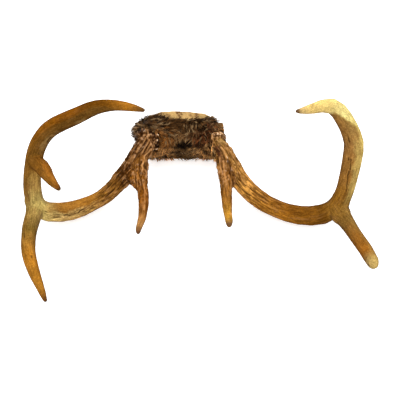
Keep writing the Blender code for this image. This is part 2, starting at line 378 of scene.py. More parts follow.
antlerLook = {
    "skin": 0.85,             # size of the carved quads
    "melt": 14,               # rounds that fill the forks in
    "swell": 0.28,            # gives back what the smoothing takes
    "grooveWide": 0.78,       # depth of the long grooves at the base
    "grooveFine": 0.34,
    "pearlSize": 4.0,
    "pearlHeight": 1.5,
    "burrKnob": 4.4,
    "burrLift": 2.2,
    "burrNeck": 2.0,
    "dirtAndShade": (0.022, 0.008, 0.002, 1.0),
    "worn": (0.60, 0.30, 0.11, 1.0),
    "roughness": 0.5,
    "specular": 0.0,
    "tipSwell": 0.5,          # keeps the ends blunt
    # painted highlight on the highest knobs and ridges
    "glint": (0.80, 0.60, 0.40, 1.0),
    "sideShade": (0.48, 0.50, 0.40),
    "grain": (1.0, 1.0, 0.13),                        # drawn out along the antler
    "grooves": ((1.35, 10), (1.0, 20), (1.9, 40)),    # width and seed: long grooves, fine ones, cracks
    "patches": (0.18, 0.44),  # strength of the cloudy patches, broad and fine
    "streaks": 620.0,         # the higher, the finer
    "threads": 1700.0,
    "slits": 480.0,
    "shine": 0.7,             # how glossy the knobs are
}

# Each burr is a ring in a plane: its outward direction, and where it stands along that direction.
# Between the two "seen" x values it is bare; near the "overgrown" line the hair laps over the antler.
leftBurr = {"facing": (-0.304, -0.815, 0.493), "at": -35.7, "paleKnobs": 0.55, "seen": (-75.5, -44.0),
            "overgrown": [(-82, 101, 42), (-80, 94, 44)], "lap": 6.0}
rightBurr = {"facing": (0.50, -0.75, 0.43), "at": -34.0, "paleKnobs": 0.3, "seen": (21.5, 39.5),
             "overgrown": [(12, 94, 50), (15, 84, 54), (18, 73, 54), (19, 64, 50), (20, 57, 50)], "lap": 9.0}

browRough = [
    (0.0, 1.0, 0.9), (0.35, 0.85, 0.75), (0.55, 0.55, 0.4), (0.75, 0.35, 0.1), (0.9, 0.12, 0.0), (1.0, 0.06, 0.0)]

# Centre lines as (x, y, z, radius).  "tones" are (share along the line, red, green, blue); "rough" is how strongly
# grooves and pearls stand out along it, (share, grooves, pearls).
leftBranches = {
    "beam": {
        "line": [
            (-62, 98, 40, 13.5), (-65, 84, 49, 13.4), (-74, 68, 50, 12.3), (-83, 54, 45, 12.2),
            (-95, 43, 38, 11.7), (-105, 32, 31, 10.9), (-121, 22, 22, 10.4), (-135, 16, 16, 10.4),
            (-149, 11, 12, 11.6), (-163, 6, 12, 12.3), (-177, 3, 15, 12.6), (-192, 2, 22, 12.6), (-205, 6, 33, 12),
            (-208, 20, 49, 11.6), (-207, 33, 66, 11.2), (-204, 45, 82, 10.9), (-199, 57, 97, 10.8),
            (-192, 66, 110, 10.6), (-181, 74, 124, 10.6), (-169, 77, 136, 10.6), (-142, 80, 156, 10.1),
            (-117, 84, 173, 8.6), (-92, 81, 186, 6.1), (-69, 74, 194, 3.7), (-59, 70, 196, 2)],
        "tones": [
            (0.0, 0.075, 0.022, 0.003), (0.12, 0.115, 0.035, 0.004), (0.22, 0.3, 0.128, 0.019),
            (0.36, 0.56, 0.36, 0.12), (0.44, 0.64, 0.48, 0.145), (0.51, 0.35, 0.21, 0.053),
            (0.58, 0.28, 0.14, 0.026), (0.66, 0.15, 0.055, 0.003), (0.8, 0.095, 0.03, 0.001),
            (0.89, 0.12, 0.042, 0.003), (0.96, 0.31, 0.118, 0.01), (1.0, 0.12, 0.055, 0.015)],
        "rough": [
            (0.0, 1.0, 1.0), (0.12, 1.0, 0.8), (0.24, 0.75, 0.15), (0.36, 0.55, 0.0), (0.44, 0.28, 0.0),
            (0.54, 0.2, 0.0), (0.7, 0.12, 0.0), (1.0, 0.06, 0.0)],
    },
    "brow": {
        "line": [
            (-70, 68, 50, 9), (-70, 53, 55, 9), (-69, 37, 62, 8.2), (-67, 21, 70, 7.1), (-65, 6, 78, 6.8),
            (-63.5, -7, 86, 6.2), (-64, -29, 99, 5.2), (-66, -38, 104, 4.5), (-68, -47, 109, 3.2),
            (-68, -52, 111, 2.4)],
        "tones": [
            (0.0, 0.22, 0.09, 0.018), (0.25, 0.3, 0.105, 0.012), (0.45, 0.22, 0.068, 0.005),
            (0.7, 0.23, 0.072, 0.006), (0.93, 0.34, 0.165, 0.05), (1.0, 0.12, 0.05, 0.02)],
        "rough": browRough,
    },
    "second": {
        "line": [
            (-205, 5, 33, 11), (-208, -10, 40, 10.7), (-209, -25, 50, 10.2), (-208, -41, 61, 9.4),
            (-204, -68, 78, 8.7), (-193, -97, 96, 7.2), (-181, -123, 110, 4.4), (-175, -136, 116, 2)],
        "tones": [
            (0.0, 0.5, 0.36, 0.1), (0.14, 0.33, 0.21, 0.055), (0.3, 0.17, 0.1, 0.018), (0.45, 0.28, 0.13, 0.02),
            (0.6, 0.4, 0.16, 0.016), (0.9, 0.33, 0.14, 0.016), (1.0, 0.07, 0.025, 0.008)],
        "rough": [(0.0, 0.3, 0.0), (0.4, 0.15, 0.0), (1.0, 0.05, 0.0)],
    },
    "third": {
        "line": [
            (-204, 45, 81, 8.6), (-197, 43, 96, 9.6), (-189, 32, 107, 9), (-181, 20, 118, 7.8),
            (-168, 1, 135, 4.9), (-161, -7, 142, 2.3)],
        "tones": [
            (0.0, 0.21, 0.088, 0.01), (0.3, 0.17, 0.065, 0.008), (0.5, 0.28, 0.1, 0.011),
            (0.9, 0.26, 0.105, 0.015), (1.0, 0.08, 0.03, 0.01)],
        "rough": [(0.0, 0.12, 0.0), (1.0, 0.05, 0.0)],
    },
}
rightBranches = {
    "beam": {
        "line": [
            (24, 97, 40, 12.8), (30, 83, 48, 12.6), (39, 68, 50, 12.2), (47, 55, 46, 12.2), (56, 42, 39, 11.9),
            (65, 33, 31, 11.6), (79, 23, 22, 11.6), (93, 15, 16, 11.5), (108, 9, 12, 11.6), (122, 3, 12, 11.7),
            (137, 0, 13, 12.2), (151, -3, 17, 12.7), (166, -2, 23, 12.9), (181, 5, 33, 12), (190, 16, 47, 11.6),
            (194, 27, 59, 11.6), (196, 38, 71, 11.9), (197, 48, 84, 12.3), (198, 58, 97, 12.6),
            (197, 66, 108, 12.2), (188, 79, 126, 11.3), (174, 91, 146, 10.3), (165, 93, 156, 9.4),
            (152, 89, 165, 7.6), (140, 83, 173, 5.9), (123, 75, 184, 2.9), (120, 74, 186, 2)],
        "tones": [
            (0.0, 0.16, 0.055, 0.009), (0.1, 0.42, 0.2, 0.045), (0.18, 0.74, 0.34, 0.068),
            (0.26, 0.27, 0.105, 0.012), (0.34, 0.23, 0.085, 0.008), (0.45, 0.135, 0.052, 0.005),
            (0.54, 0.21, 0.09, 0.01), (0.62, 0.31, 0.14, 0.027), (0.72, 0.28, 0.135, 0.034),
            (1.0, 0.22, 0.11, 0.02)],
        "rough": [
            (0.0, 0.9, 0.8), (0.12, 0.85, 0.6), (0.22, 0.7, 0.2), (0.32, 0.45, 0.0), (0.46, 0.22, 0.0),
            (0.62, 0.2, 0.0), (0.78, 0.15, 0.0), (0.86, 0.05, 0.0), (1.0, 0.04, 0.0)],
    },
    "brow": {
        "line": [
            (35, 74, 50, 9), (37, 57, 56, 9.2), (38, 41, 63, 8.6), (39, 25, 70, 7.7), (39.5, -1, 84, 6.7),
            (40, -22, 95.5, 5.5), (42, -36, 103, 4.3), (42, -41, 105, 3.1)],
        "tones": [
            (0.0, 0.26, 0.115, 0.02), (0.35, 0.25, 0.092, 0.015), (0.7, 0.26, 0.105, 0.016),
            (0.93, 0.48, 0.23, 0.026), (1.0, 0.14, 0.07, 0.03)],
        "rough": browRough,
    },
    "second": {
        "line": [
            (181, 5, 33, 12), (187, -9, 40, 12.4), (191, -15, 44, 10.7), (196, -28, 53, 9.4), (200, -42, 64, 8.8),
            (209, -67, 86, 8.7), (211, -78, 96, 8.3), (213, -85, 103, 7.6), (213, -90, 108, 6.4)],
        "tones": [
            (0.0, 0.24, 0.11, 0.015), (0.3, 0.18, 0.092, 0.018), (0.6, 0.25, 0.1, 0.014), (0.84, 0.27, 0.1, 0.011),
            (0.93, 0.36, 0.2, 0.05), (1.0, 0.42, 0.28, 0.09)],
        "rough": [(0.0, 0.35, 0.0), (0.4, 0.15, 0.0), (1.0, 0.05, 0.0)],
    },
}


# Things that stand out one by one: dark slits cut along the grain, pale ridges, knobs on the edge.
# Each is its half width, its height (a slit's is negative), how much it colours (on a pale ridge, above about 1.1 it
# also takes the painted highlight), and a line of (x, y, z).
leftMarks = [
    (0.9, -0.7, 1.0, [(-184, -7, 27), (-180, -7, 25), (-176, -6, 24)]),
    (1.0, -0.8, 1.0, [(-171, -4, 24), (-167, -3, 23), (-163, -3, 21)]),
    (0.8, -0.5, 1.0, [(-194, -2, 37), (-188, -3, 32)]),
    (0.9, -0.6, 1.0, [(-153, 1, 21), (-148, 4, 22), (-143, 7, 22)]),
    (0.8, -0.5, 1.0, [(-213, -41, 70), (-211, -48, 75)]),
    (0.8, -0.4, 1.0, [(-198, -76, 92), (-197, -79, 94)]),
    (1.0, -0.5, 1.0, [(-182, 61, 119), (-176, 64, 127)]),
    (2.0, -0.6, 0.3, [(-197, 13, 48), (-199, 6, 46), (-200, -2, 45), (-199, -10, 47)]),
    (4.0, -1.5, 0.0, [(-77, 27, 54), (-75, 20, 58), (-74, 14, 62)]),
    (4.5, 2.2, 0.0, [(-90, 31, 41), (-84, 30, 46)]),
    (5.0, 1.5, 0.0, [(-217, 8, 40), (-217, 1, 38)]),
    (1.2, 0.8, 1.0, [(-69, 104, 54), (-66, 103, 56), (-63, 102, 57), (-61, 98, 57)]),
    (2.2, 1.4, 1.0, [(-155, -3, 14), (-152, -2, 14)]),
    (5.5, 1.4, 0.0, [(-184, 37, 110), (-176, 26, 120)]),
    (1.8, 1.0, 1.0, [(-104, 24, 37), (-102, 26, 37)]),
    (1.2, 1.2, 1.2, [(-59, 74, 58), (-62, 69, 59), (-66, 64, 60), (-64, 58, 61), (-68, 51, 65), (-67, 45, 67),
                     (-68, 35, 72)]),
    (1.2, 1.1, 1.15, [(-56, 74, 53), (-59, 69, 52), (-60, 61, 55), (-61, 54, 57), (-62, 43, 64), (-63, 31, 70)]),
    (1.1, 0.9, 1.0, [(-64, 91, 61), (-66, 83, 62), (-71, 76, 64), (-75, 69, 63)]),
    (1.1, 1.0, 1.0, [(-59, 89, 59), (-62, 81, 61), (-66, 74, 62), (-70, 66, 61)]),
    (1.0, -0.7, 1.0, [(-72, 51, 64), (-70, 37, 70), (-67, 21, 78), (-65, 6, 85)]),
    (1.0, 0.6, 1.0, [(-66, 27, 74), (-63, 11, 82), (-62, -5, 91), (-62, -20, 100)]),
]
rightMarks = [
    (0.8, -0.9, 1.0, [(186, 69, 130), (188, 65, 125), (190, 61, 120)]),
    (0.7, -0.6, 1.0, [(191, 48, 101), (191, 45, 98)]),
    (0.8, -0.9, 1.0, [(194, 46, 101), (194, 41, 95), (194, 36, 88)]),
    (0.8, -0.9, 1.0, [(193, 35, 86), (192, 29, 78), (192, 22, 70)]),
    (0.8, -0.7, 1.0, [(192, 21, 69), (192, 15, 62)]),
    (1.1, -1.0, 1.0, [(53, 32, 44), (62, 26, 39), (71, 20, 35)]),
    (1.0, -0.9, 1.0, [(71, 28, 40), (82, 22, 34), (92, 17, 28)]),
    (1.0, -0.9, 1.0, [(55, 37, 50), (60, 34, 47), (66, 30, 44)]),
    (1.4, 1.4, 1.4, [(33, 76, 63), (37, 72, 63), (39, 67, 63), (41, 61, 63)]),
    (1.5, 0.9, 1.4, [(22, 89, 57), (22, 95, 56), (24, 99, 57), (27, 100, 55), (30, 98, 55)]),
    (1.4, 0.8, 1.4, [(32, 100, 54), (35, 99, 53), (38, 97, 49)]),
    (5.5, 2.0, 0.0, [(195, 6, 40), (196, -2, 42)]),
    (1.2, -1.0, 1.0, [(31, 76, 62), (34, 71, 62), (36, 66, 62), (38, 58, 64)]),
    (1.1, 0.9, 1.0, [(36, 56, 66), (37, 45, 70), (38, 32, 75), (39, 18, 82)]),
    (1.1, 0.9, 1.0, [(31, 63, 62), (32, 50, 67), (34, 38, 71)]),
    (2.3, 1.8, 1.0, [(47, 78, 56), (48, 76, 56)]),
    (2.0, 1.5, 1.0, [(51, 68, 56), (52, 66, 56)]),
    (1.7, 1.2, 1.0, [(56, 57, 54), (57, 55, 54)]),
    (1.2, -1.0, 1.0, [(207, -91, 109), (207, -93, 109)]),
    (1.8, 0.8, 1.0, [(44, -26, 101), (44, -28, 102)]),
    (4.5, -2.0, 0.0, [(50, 32, 54), (47, 22, 60), (46, 14, 66)]),
]


def besideLine(points, line):
    # how far each point is from a line through the given places
    best = np.full(len(points), 1e9)
    for start, end in zip(np.array(line, dtype=float), np.array(line[1:], dtype=float)):
        way = end - start
        share = np.clip((points - start) @ way / way.dot(way), 0.0, 1.0)
        best = np.minimum(best, np.linalg.norm(points - start - share[:, None] * way, axis=1))
    return best


def resample(line, step=3.0):
    # a smooth line through the given points, with points about a step apart
    given = np.array(line, dtype=float)
    padded = np.vstack([2 * given[0] - given[1], given, 2 * given[-1] - given[-2]])
    found = []
    for k in range(1, len(padded) - 2):
        before, start, end, after = padded[k - 1], padded[k], padded[k + 1], padded[k + 2]
        count = max(2, int(round(np.linalg.norm(end[:3] - start[:3]) / step)))
        for t in np.arange(count) / count:
            found.append(0.5 * (2 * start + (end - before) * t + (2 * before - 5 * start + 4 * end - after) * t * t
                                + (3 * start - before - 3 * end + after) * t ** 3))
    found.append(given[-1])
    return np.array(found)


def lineFrames(samples):
    # distance along the line, its direction, and two directions across it that don't twist
    place = samples[:, :3]
    ahead = unit(np.gradient(place, axis=0))
    along = np.concatenate([[0.0], np.cumsum(np.linalg.norm(np.diff(place, axis=0), axis=1))])
    across = np.zeros_like(ahead)
    side = np.cross(ahead[0], (0.0, 0.0, 1.0))
    for k in range(len(ahead)):
        side = side - ahead[k] * side.dot(ahead[k])
        side = side / np.linalg.norm(side)
        across[k] = side
    return along, ahead, across, np.cross(ahead, across)


def followBranch(points, line):
    # where each point lies across, over and along one branch, and how far out in shares of its radius
    samples = resample(line)
    along, ahead, across, over = lineFrames(samples)
    nearest = np.empty(len(points), dtype=int)
    atOnce = 8000
    for start in range(0, len(points), atOnce):
        gap = ((points[start:start + atOnce, None, :] - samples[None, :, :3]) ** 2).sum(axis=2)
        nearest[start:start + atOnce] = gap.argmin(axis=1)
    offset = points - samples[nearest, :3]
    straight = np.stack([(offset * way[nearest]).sum(axis=1) for way in (across, over, ahead)], axis=1)
    straight[:, 2] += along[nearest]
    return {"straight": straight, "share": np.clip(straight[:, 2] / along[-1], 0.0, 1.0),
            "reach": np.linalg.norm(offset, axis=1) / samples[nearest, 3]}


def alongTable(share, table, column):
    return np.interp(share, [row[0] for row in table], [row[column] for row in table])


def toneAlong(share, tones):
    return np.stack([alongTable(share, tones, k) for k in (1, 2, 3)], axis=1)


def sculptAntler(nodeName, newName, branches, burr, marks, sideTint, seed):
    piece, points, edges = evenCopy(nodeName, newName, antlerLook["skin"])
    follow = [followBranch(points, branch["line"]) for branch in branches.values()]
    pull = np.stack([np.exp(-7.0 * (one["reach"] - 1.0)) for one in follow])
    pull /= pull.sum(axis=0)
    fork = spread(ramp(0.02, 0.35, 1.0 - pull.max(axis=0)), edges, 12).clip(0, 1)

    def blend(values):
        return sum(share * value for share, value in zip(pull, values))

    def blendTable(name, column):
        return blend([alongTable(one["share"], branch[name], column)
                      for one, branch in zip(follow, branches.values())])

    points = relax(points, edges, 14, 0.5)
    for _ in range(antlerLook["melt"]):
        # hollow corners fill up freely, what stands out is worn down less
        setPoints(piece, points)
        shift = relax(points, edges, 12, 0.5 * fork) - points
        outward = (shift * getNormals(piece)).sum(axis=1) > 0.0
        points = points + shift * np.where(outward, 1.0, 0.45)[:, None]
    setPoints(piece, points)
    nearTip = blend([ramp(0.88, 0.97, one["share"]) for one in follow])
    points = points + getNormals(piece) * (antlerLook["swell"] + antlerLook["tipSwell"] * nearTip)[:, None]
    setPoints(piece, points)
    normals = getNormals(piece)

    bends = []
    for k, one in enumerate(follow):
        wave = softNoise(one["straight"], 12.0, seed + 31 + k)[:, None]
        bends.append(one["straight"] * antlerLook["grain"] + 0.6 * wave * (1.0, 1.0, 0.0))
    spare = np.sqrt((pull ** 2).sum(axis=0))
    groove, fine, crack = (blend([softNoise(bend, size, seed + first + k) for k, bend in enumerate(bends)]) / spare
                           for size, first in antlerLook["grooves"])
    crack = np.clip(1.0 - np.abs(crack) / 0.16, 0.0, 1.0)
    tone = np.stack([blendTable("tones", k) for k in (1, 2, 3)], axis=1)
    tone, calm, pitShade = sideTint(tone, points, normals, follow[0]["share"])
    grooveAmount = blendTable("rough", 1) * (1.0 - 0.35 * fork) * (1.0 - 0.75 * calm)
    pearlAmount = blendTable("rough", 2) * (1.0 - 0.7 * fork)

    # pearls: small bony knobs, thick round the base and up the inner side of the brow tine
    away, own = pebbles(points, antlerLook["pearlSize"], seed + 60)
    knob = np.clip(1.0 - (away / (0.42 + 0.18 * own)) ** 2, 0.0, 1.0) * (0.55 + 0.45 * own)
    pearl = knob * pearlAmount * ramp(-0.55, 0.25, softNoise(points, 9.0, seed + 70) + (pearlAmount - 0.5))
    lift = grooveAmount * (antlerLook["grooveWide"] * (groove - 0.6 * crack) + antlerLook["grooveFine"] * fine)
    lift += antlerLook["pearlHeight"] * pearl

    # the burr: a ring of bigger knobs where the antler sits on the skull, a slimmer neck in front of it, and
    # behind it the stump that the hair hides
    facing = np.array(burr["facing"])
    facing /= np.linalg.norm(facing)
    ahead = points @ facing - burr["at"]
    atRoot = ramp(0.16, 0.10, follow[0]["share"]) * ramp(0.3, 0.6, pull[0])
    onBurr = window(ahead, -4.2, -2.8, 2.2, 3.4) * atRoot
    behind = ramp(-2.8, -4.6, ahead) * atRoot
    low, high = burr["seen"]
    seen = window(points[:, 0], low - 1.0, low + 1.0, high - 1.0, high + 1.0)
    overgrown = ramp(burr["lap"] + 1.0, burr["lap"] - 1.0, besideLine(points, burr["overgrown"]))
    away, own = pebbles(points, antlerLook["burrKnob"], seed + 80)
    stone = np.clip(1.0 - (away / 0.62) ** 2, 0.0, 1.0) * (0.5 + 0.5 * own)
    lift = lift * (1.0 - onBurr) + onBurr * antlerLook["burrLift"] * (stone * 1.5 - 0.2) * (0.3 + 0.7 * seen)
    lift -= antlerLook["burrNeck"] * atRoot * window(ahead, 2.4, 4.2, 8.0, 16.0)
    lift = lift * (1.0 - behind) - 2.2 * behind

    # the marks wander a little, so that none of them is ruled
    wander = points + np.stack([softNoise(points, 3.5, seed + 90 + k) for k in range(3)], axis=1) * 0.6
    slit = np.zeros(len(points))
    ridge = np.zeros(len(points))
    for wide, high, shows, line in marks:
        near = np.exp(-(besideLine(wander, line) / wide) ** 2)
        lift += high * near
        if high < 0.0:
            slit = np.maximum(slit, near * shows)
        else:
            ridge = np.maximum(ridge, near * shows)
    points = relax(points + normals * lift[:, None], edges, 1, 0.25)
    points[:, 2] = np.maximum(points[:, 2], 0.05)
    setPoints(piece, points)

    # darker in the grooves, cracks and between the pearls; between the burr's knobs this is partly painted shade
    # round the ring
    hollow = np.clip(np.maximum(-groove * 1.5 - 0.1, crack * 0.8), 0, 1) * grooveAmount
    hollow = np.clip(hollow + 0.5 * np.clip(-fine, 0, 1) * grooveAmount, 0, 1) * (1.0 - pearl)
    hollow = np.clip(hollow + 0.35 * pearlAmount * (1.0 - knob), 0, 1)
    hollow = np.clip(hollow * (1.0 - onBurr) + onBurr * (0.95 - 1.8 * stone), 0, 1)
    hollow = np.maximum(hollow * (1.0 - ridge), slit * 1.1)
    hidden = np.maximum(onBurr * (1.0 - seen), overgrown)
    # pale tops on the burr's knobs, their own worn colour; on the palest knobs the value goes above 1 and takes the
    # painted highlight too
    speck = onBurr * ramp(0.3, 0.65, stone) * (0.25 + 0.75 * (own > burr["paleKnobs"]))
    crest = np.clip(np.clip(groove * 1.6 - 0.15, 0, 1) * grooveAmount * 0.8 + pearl, 0, 1)
    # in the painted shade of the right antler's pearly hollow the pale wear is held back, and the knob tops there are
    # pushed into the painted highlight
    crest = crest * (1.0 - onBurr) * (1.0 - 0.85 * pitShade) + pitShade * ramp(0.75, 0.9, knob) * 1.3
    crest = np.clip(crest + speck * 1.3, 0, 1.3) * (1.0 - behind)
    crest = np.maximum(crest * (1.0 - slit), ridge * 0.9 * (1.0 - behind)) * (1.0 - hidden)
    # painted shade: darker down the sides and underneath, on faces turned away from the view
    turned = ramp(0.66, 0.1, normals @ (0.0, -0.31, 0.95))
    tone = tone * (1.0 - turned[:, None] * antlerLook["sideShade"])
    # the burr painted darker, partly its own dark knobs and partly painted shade round the ring; the stump behind it
    # darker still
    tone = tone * (1.0 - 0.45 * onBurr[:, None]) * (1.0 - 0.8 * behind[:, None])
    keepColour(piece, "tone", layOver(tone, hidden, hairLook["brown"]).clip(0.0, 1.0))
    shine = np.clip(pearlAmount * ramp(0.1, 0.6, pearl) + onBurr * stone + 0.2 * pitShade, 0, 1)
    keep(piece, {"hollow": hollow, "crest": crest, "grain": grooveAmount, "stump": behind, "overgrown": overgrown,
                 "knob": shine})
    # each branch has its own stretch of the grain
    strongest = pull.argmax(axis=0)
    straight = np.stack([one["straight"] for one in follow])[strongest, np.arange(len(points))]
    straight = straight + strongest[:, None] * (40.0, 25.0, 0.0)
    keep(piece, {"lengthwise": straight * mm * antlerLook["grain"]}, "FLOAT_VECTOR", "vector")
    smoothShade(piece)
    return piece


def tintLeft(tone, points, normals, beam):
    # darker along the outer edge, browner on the upper half of the low beam, painted shade in olive under the forward
    # sweep, a painted rim of light bounced up from the floor along its lowest edge, and a painted lit top
    sway = softNoise(points, 7.0, 700) * 0.25
    outer = ramp(-0.1, 0.6, -normals[:, 0] + sway) * window(beam, 0.40, 0.48, 0.62, 0.70)
    tone = layOver(tone, outer * 0.85, (0.15, 0.062, 0.008))
    upper = ramp(-0.4, 0.1, normals @ (-0.35, 0.89, 0.29) + sway) * window(beam, 0.2, 0.26, 0.36, 0.44)
    tone = layOver(tone, upper * 0.9, (0.34, 0.135, 0.014))
    turned = normals @ (0.55, -0.8, 0.2)
    # painted shade under the forward sweep
    under = ramp(0.0, 0.6, turned + sway) * window(beam, 0.60, 0.70, 0.9, 0.97)
    tone = layOver(tone, under * 0.6, (0.115, 0.058, 0.012))
    # painted light bounced up from the floor along the lowest edge
    rim = ramp(0.82, 0.97, turned + sway * 0.5) * window(beam, 0.60, 0.66, 0.8, 0.92)
    tone = layOver(tone, rim * 0.6, (0.30, 0.18, 0.06))
    # painted light on the top of the forward sweep
    top = ramp(0.35, 0.8, normals @ (-0.6, 0.5, 0.6) + sway) * window(beam, 0.62, 0.70, 0.78, 0.86)
    return layOver(tone, top * 0.6, (0.20, 0.065, 0.004)), upper, np.zeros(len(points))


def tintRight(tone, points, normals, beam):
    # olive, then cream, on the outer side; the forward end is cream beyond a slanting edge
    sway = softNoise(points, 7.0, 720) * 0.2
    outer = ramp(-0.3, 0.35, normals[:, 0] + sway) * ramp(0.50, 0.58, beam)
    tone = layOver(tone, outer * (1.0 - 0.7 * ramp(0.70, 0.76, beam)) * 0.85, (0.47, 0.32, 0.09))
    rim = ramp(0.5, 0.85, normals[:, 0] + sway) * ramp(0.52, 0.62, beam)
    tone = layOver(tone, rim, (0.58, 0.42, 0.12))
    low = ramp(0.1, -0.4, normals @ (0.3, 0.9, 0.3) + sway) * window(beam, 0.14, 0.2, 0.34, 0.42)
    tone = layOver(tone, low * 0.25, (0.50, 0.20, 0.022))
    # a smooth tan patch over the burr, and painted shade over the pearly hollow beside the pale edge
    tan = np.exp(-(np.linalg.norm(points - (33.0, 85.0, 54.0), axis=1) / 8.5) ** 4)
    tone = layOver(tone, tan * 0.9, (0.40, 0.24, 0.075))
    shadedPit = np.exp(-(besideLine(points, [(28, 76, 60), (31, 68, 60), (34, 60, 61), (36, 54, 63)]) / 4.0) ** 2)
    tone = layOver(tone, shadedPit, (0.085, 0.022, 0.006))
    beyond = (points - (171.6, 84.7, 150.0)) @ (0.461, 0.843, 0.274) + softNoise(points, 5.0, 721)
    tip = np.maximum(ramp(-0.8, 1.6, beyond) * ramp(0.70, 0.74, beam), ramp(0.86, 0.88, beam))
    cream = toneAlong(beam, [(0.74, 0.58, 0.44, 0.12), (0.84, 0.76, 0.62, 0.23), (0.90, 0.64, 0.46, 0.15),
                             (0.96, 0.66, 0.46, 0.15), (0.99, 0.50, 0.34, 0.13), (1.0, 0.13, 0.07, 0.03)])
    return layOver(tone, tip, cream), tan, shadedPit


def makeAntlerMaterial():
    material, tree, shader = newMaterial("antler", antlerLook["roughness"], antlerLook["specular"])
    lengthwise = attributeNode(tree, "lengthwise", "Vector")
    hollow, crest, grain, knob = (attributeNode(tree, name) for name in ("hollow", "crest", "grain", "knob"))
    broad, fine = antlerLook["patches"]
    patches = placeGroup(tree, patchGroup, Vector=ownPlace(tree), Colour=attributeNode(tree, "tone", "Color"),
                         Broad_Amount=broad, Fine_Amount=fine)
    streak = noiseNode(tree, lengthwise, antlerLook["streaks"], 3.0, 0.6)
    thread = noiseNode(tree, lengthwise, antlerLook["threads"], 2.0, 0.5)
    warm = mixNode(tree, stretchNode(tree, streak, 0.41, 0.59), (0.42, 0.36, 0.28, 1.0), (1.38, 1.44, 1.5, 1.0))
    tinted = mixNode(tree, stretchNode(tree, grain, 0.0, 0.8, 0.17, 1.0), patches, warm, "MULTIPLY")
    tinted = scaleNode(tree, tinted, stretchNode(tree, thread, 0.35, 0.65, 0.86, 1.14))
    worn = mixNode(tree, mathNode(tree, "MULTIPLY", crest, 0.65, clamp=True), tinted, antlerLook["worn"])
    # painted highlight: where the crest goes above 1, the colour turns to the glint
    worn = mixNode(tree, stretchNode(tree, crest, 1.0, 1.25), worn, antlerLook["glint"])
    # short dark slits where the grain is open
    slit = stretchNode(tree, noiseNode(tree, lengthwise, antlerLook["slits"], 1.0, 0.4), 0.39, 0.33)
    slit = mathNode(tree, "MULTIPLY", slit, grain, clamp=True)
    withDirtAndShade = placeGroup(tree, dirtAndShadeGroup, Colour=worn, Dirt=antlerLook["dirtAndShade"],
                       Hollow=mathNode(tree, "MAXIMUM", hollow, slit), Amount=0.9)
    rough = mathNode(tree, "ADD", mathNode(tree, "MULTIPLY", hollow, 0.3), antlerLook["roughness"])
    rough = mathNode(tree, "SUBTRACT", rough, mathNode(tree, "MULTIPLY", crest, 0.16))
    bumpNode(tree, shader, mathNode(tree, "ADD", streak, mathNode(tree, "MULTIPLY", slit, -0.6)), 0.55, 0.5)
    fill(tree, shader, Base_Color=withDirtAndShade, Roughness=rough, Coat_Roughness=0.18,
         Coat_Weight=mathNode(tree, "MULTIPLY", knob, antlerLook["shine"]))
    return material


antlerMaterial = makeAntlerMaterial()
antlers = []
for nodeName, newName, branches, burr, marks, tint, seed in (
        ("left_antler", "left_antler_carved", leftBranches, leftBurr, leftMarks, tintLeft, 100),
        ("right_antler", "right_antler_carved", rightBranches, rightBurr, rightMarks, tintRight, 300)):
    antler = sculptAntler(nodeName, newName, branches, burr, marks, tint, seed)
    antler.data.materials.append(antlerMaterial)
    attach(antler, "root")
    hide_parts(nodeName)
    antlers.append(antler)
    print(newName, len(antler.data.polygons), "quads")


boneLook = {
    "skin": 1.0,
    "colour": (0.455, 0.282, 0.096, 1.0),
    "stain": (0.13, 0.055, 0.012, 1.0),
    "lip": 1.6,              # how far the front edge stands out of the hide
    # dirt in the pores and pits, and painted shade on the bone's left end
    "dirtAndShade": (0.07, 0.032, 0.012, 1.0),
    "driedSkin": (0.035, 0.015, 0.006, 1.0),
    "roughness": 0.62,
    "specular": 0.15,
    "patches": (0.2, 0.22),
    "stains": 120.0,         # the higher, the finer
    "pores": 700.0,
}
pedicles = ((-62.0, 98.0, 40.0), (24.0, 97.0, 40.0))     # where the burrs sit


def makeBoneMaterial():
    material, tree, shader = newMaterial("skull bone", boneLook["roughness"], boneLook["specular"])
    place = ownPlace(tree)
    stained = mixNode(tree, stretchNode(tree, noiseNode(tree, place, boneLook["stains"], 4.0, 0.68), 0.50, 0.62),
                      boneLook["colour"], boneLook["stain"])
    broad, fine = boneLook["patches"]
    patches = placeGroup(tree, patchGroup, Vector=place, Colour=stained, Broad_Amount=broad, Fine_Amount=fine)
    pores = stretchNode(tree, noiseNode(tree, place, boneLook["pores"], 2.0, 0.5), 0.42, 0.33)
    # darker in the pores and pits, and painted shade where the mask carries the bone's left end
    hollow = mathNode(tree, "MAXIMUM", attributeNode(tree, "hollow"), pores)
    withDirtAndShade = placeGroup(tree, dirtAndShadeGroup, Colour=patches, Dirt=boneLook["dirtAndShade"], Hollow=hollow, Amount=0.7)
    skinned = mixNode(tree, attributeNode(tree, "skinned"), withDirtAndShade, boneLook["driedSkin"])
    fill(tree, shader, Base_Color=skinned)
    height = noiseNode(tree, place, 520.0, 3.0)
    bumpNode(tree, shader, mathNode(tree, "SUBTRACT", height, mathNode(tree, "MULTIPLY", pores, 0.5)), 0.5, 0.5)
    return material


